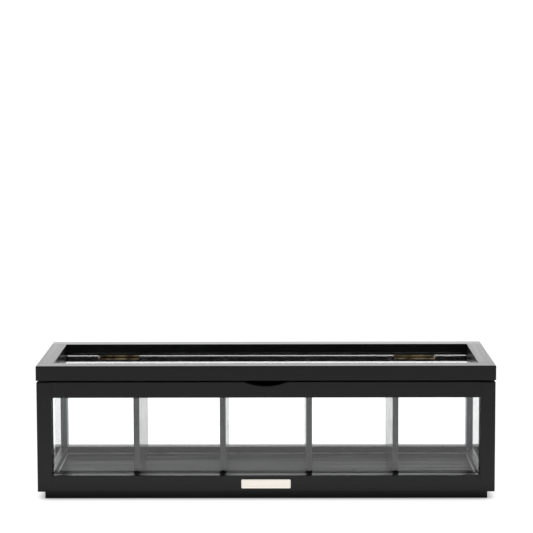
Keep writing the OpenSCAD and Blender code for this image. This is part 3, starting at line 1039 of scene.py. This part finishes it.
def white_floor():
    """White to the camera and through glass, apart from the shadow of the box, which is
    darkest where it touches. Gloss sees it dim at the foot of the box and far off."""
    floor, tree, face = new_finish("white floor")
    nodes, links = tree.nodes, tree.links
    nodes.remove(face)

    def glow(strength):
        light = nodes.new("ShaderNodeEmission")
        light.inputs["Strength"].default_value = strength
        return light

    def matt(grey):
        surface = nodes.new("ShaderNodeBsdfDiffuse")
        surface.inputs["Color"].default_value = (grey, grey, grey, 1)
        return surface.outputs["BSDF"]

    low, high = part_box("base_board")
    place = nodes.new("ShaderNodeTexCoord")
    folded = nodes.new("ShaderNodeVectorMath")
    folded.operation = "ABSOLUTE"
    beyond = nodes.new("ShaderNodeVectorMath")
    beyond.operation = "SUBTRACT"
    beyond.inputs[1].default_value = (high.x, high.y, 0)
    outside = nodes.new("ShaderNodeVectorMath")
    outside.operation = "MAXIMUM"
    outside.inputs[1].default_value = (0, 0, 0)
    distance = nodes.new("ShaderNodeVectorMath")
    distance.operation = "LENGTH"
    links.new(place.outputs["Object"], folded.inputs[0])
    links.new(folded.outputs["Vector"], beyond.inputs[0])
    links.new(beyond.outputs["Vector"], outside.inputs[0])
    links.new(outside.outputs["Vector"], distance.inputs[0])
    away = distance.outputs["Value"]
    level = nodes.new("ShaderNodeMath")
    level.operation = "MULTIPLY"
    links.new(graded(tree, away, 0, FOOT_SHADE_WIDTH, GLOSS_AT_FOOT, 1), level.inputs[0])
    links.new(graded(tree, away, *GLOSS_FADE, GLOSS_NEAR, GLOSS_FAR), level.inputs[1])
    mirrored = glow(1)
    links.new(level.outputs["Value"], mirrored.inputs["Strength"])

    along_y = nodes.new("ShaderNodeSeparateXYZ")
    links.new(place.outputs["Object"], along_y.inputs["Vector"])
    inside = glow(1)
    ends = (-INSIDE_FADE, INSIDE_FADE, GLOW_FROM_THE_FRONT, GLOW_THROUGH_GLASS)
    links.new(graded(tree, along_y.outputs["Y"], *ends), inside.inputs["Strength"])

    contact = nodes.new("ShaderNodeAmbientOcclusion")
    contact.inputs["Distance"].default_value = CONTACT_REACH
    shaded = glow(1)
    ends = (0.15, 0.7, CONTACT_SHADE * GLOW_TO_CAMERA, GLOW_TO_CAMERA)
    links.new(graded(tree, contact.outputs["AO"], *ends), shaded.inputs["Strength"])
    look = nodes.new("ShaderNodeAddShader")
    links.new(shaded.outputs["Emission"], look.inputs[0])
    links.new(matt(SHADE_TO_CAMERA), look.inputs[1])

    path = nodes.new("ShaderNodeLightPath").outputs
    plain = glow(GLOW_THROUGH_GLASS).outputs["Emission"]
    through = chosen(tree, path["Glossy Depth"], plain, inside.outputs["Emission"])
    result = look.outputs["Shader"]
    result = chosen(tree, path["Is Glossy Ray"], result, mirrored.outputs["Emission"])
    result = chosen(tree, path["Is Diffuse Ray"], result, matt(0.8))
    result = chosen(tree, path["Is Transmission Ray"], result, through)
    links.new(result, nodes["Material Output"].inputs["Surface"])
    return floor


floor_skin = bmesh.new()
bmesh.ops.create_grid(floor_skin, x_segments=1, y_segments=1, size=FLOOR_SIZE / 2)
floor = piece_from(floor_skin, "floor", white_floor())
floor.location.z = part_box("base_board")[0].z

world = bpy.data.worlds.new("studio")
bpy.context.scene.world = world
world.use_nodes = True
studio = world.node_tree
place = studio.nodes.new("ShaderNodeTexCoord")
direction = studio.nodes.new("ShaderNodeSeparateXYZ")
studio.links.new(place.outputs["Generated"], direction.inputs["Vector"])


def sky(front, rear):
    """The studio's white, of one strength towards the front and one towards the rear."""
    white = studio.nodes.new("ShaderNodeBackground")
    white.inputs["Color"].default_value = (1, 1, 1, 1)
    shade = studio.nodes.new("ShaderNodeMapRange")
    shade.interpolation_type = "SMOOTHSTEP"
    shade.inputs["From Min"].default_value = -0.5
    shade.inputs["From Max"].default_value = 0.35
    shade.inputs["To Min"].default_value = front
    shade.inputs["To Max"].default_value = rear
    studio.links.new(direction.outputs["Y"], shade.inputs["Value"])
    studio.links.new(shade.outputs["Result"], white.inputs["Strength"])
    return white.outputs["Background"]


path = studio.nodes.new("ShaderNodeLightPath").outputs
plain_glass = sky(GLOW_THROUGH_GLASS, GLOW_THROUGH_GLASS)
mirrored_glass = sky(ROOM_FRONT, GLOW_THROUGH_GLASS)
through = chosen(studio, path["Glossy Depth"], plain_glass, mirrored_glass)
seen = chosen(studio, path["Is Transmission Ray"], sky(ROOM_FRONT, 1), through)
seen = chosen(studio, path["Is Camera Ray"], seen, sky(1, 1))
studio.links.new(seen, studio.nodes["World Output"].inputs["Surface"])


def soft_lamp(name, place, target, width, height, radiance):
    """A soft box that the camera doesn't see, of a given brightness."""
    lamp = bpy.data.lights.new(name, "AREA")
    lamp.shape = "RECTANGLE"
    lamp.size, lamp.size_y = width, height
    lamp.energy = radiance * pi * width * height
    box = bpy.data.objects.new(name, lamp)
    box.location = place
    box.rotation_euler = (Vector(target) - Vector(place)).to_track_quat("-Z", "Y").to_euler()
    box.visible_camera = False
    box.visible_transmission = False
    bpy.context.scene.collection.objects.link(box)


soft_lamp(
    "overhead soft box", place=(0, 0, 1.5), target=(0, 0, 0),
    width=1.6, height=1.3, radiance=1.5,
)
soft_lamp(
    "rear soft box", place=(0, 2.2, 0.75), target=(0, 0, 0.1),
    width=4.0, height=1.3, radiance=1.15,
)

# Camera
# It stands where the photograph was taken from, about 1.45 m in front of the box and 0.4 m
# above the table. Its lens is shifted, because the photograph keeps upright edges upright.

CAMERA_PLACE = (0.01055, -1.50202, 0.39748)
CAMERA_PITCH = radians(4.846)
CAMERA_YAW = radians(0.36)
CAMERA_ROLL = radians(0.158)
CAMERA_LENS = 113.48
CAMERA_SHIFT = -0.15

camera = bpy.data.objects.new("camera", bpy.data.cameras.new("camera"))
camera.data.sensor_width = 36
camera.data.lens = CAMERA_LENS
camera.data.shift_y = CAMERA_SHIFT
camera.location = CAMERA_PLACE
camera.rotation_euler = (pi / 2 - CAMERA_PITCH, CAMERA_ROLL, CAMERA_YAW)
bpy.context.scene.collection.objects.link(camera)
bpy.context.scene.camera = camera
bpy.context.scene.view_settings.view_transform = "Standard"
